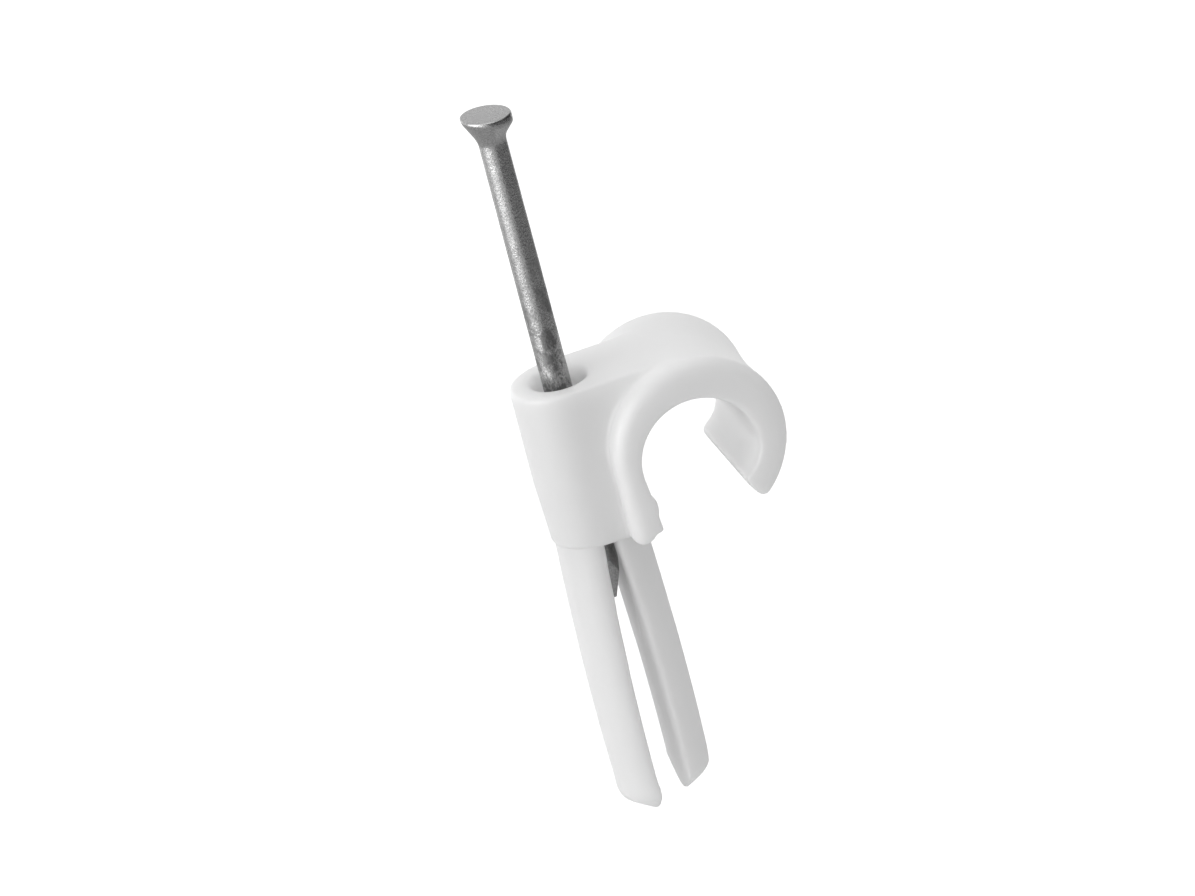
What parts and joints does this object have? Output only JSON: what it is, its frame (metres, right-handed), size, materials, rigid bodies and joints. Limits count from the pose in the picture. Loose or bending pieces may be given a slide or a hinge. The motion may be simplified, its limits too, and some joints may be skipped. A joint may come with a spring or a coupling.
{
  "type": "nail-in cable clip",
  "caption": "White moulded cable clip: an open hook beside a round boss with a split wall plug, and a steel nail standing part-driven in its bore.",
  "frame": {"origin": "where the axis of the boss and plug crosses the wall's surface", "axes": "+Z along the plug's axis, out of the wall towards the nail's head; +X from the boss to the hook; the cable runs along Y"},
  "size_m": [0.0159, 0.0104, 0.0494],
  "materials": {
    "clip_plastic": "satin",
    "nail_steel": "dull"
  },
  "bodies": {
    "root": {"clip": "clip_plastic", "nail": "nail_steel"}
  },
  "joints": []
}
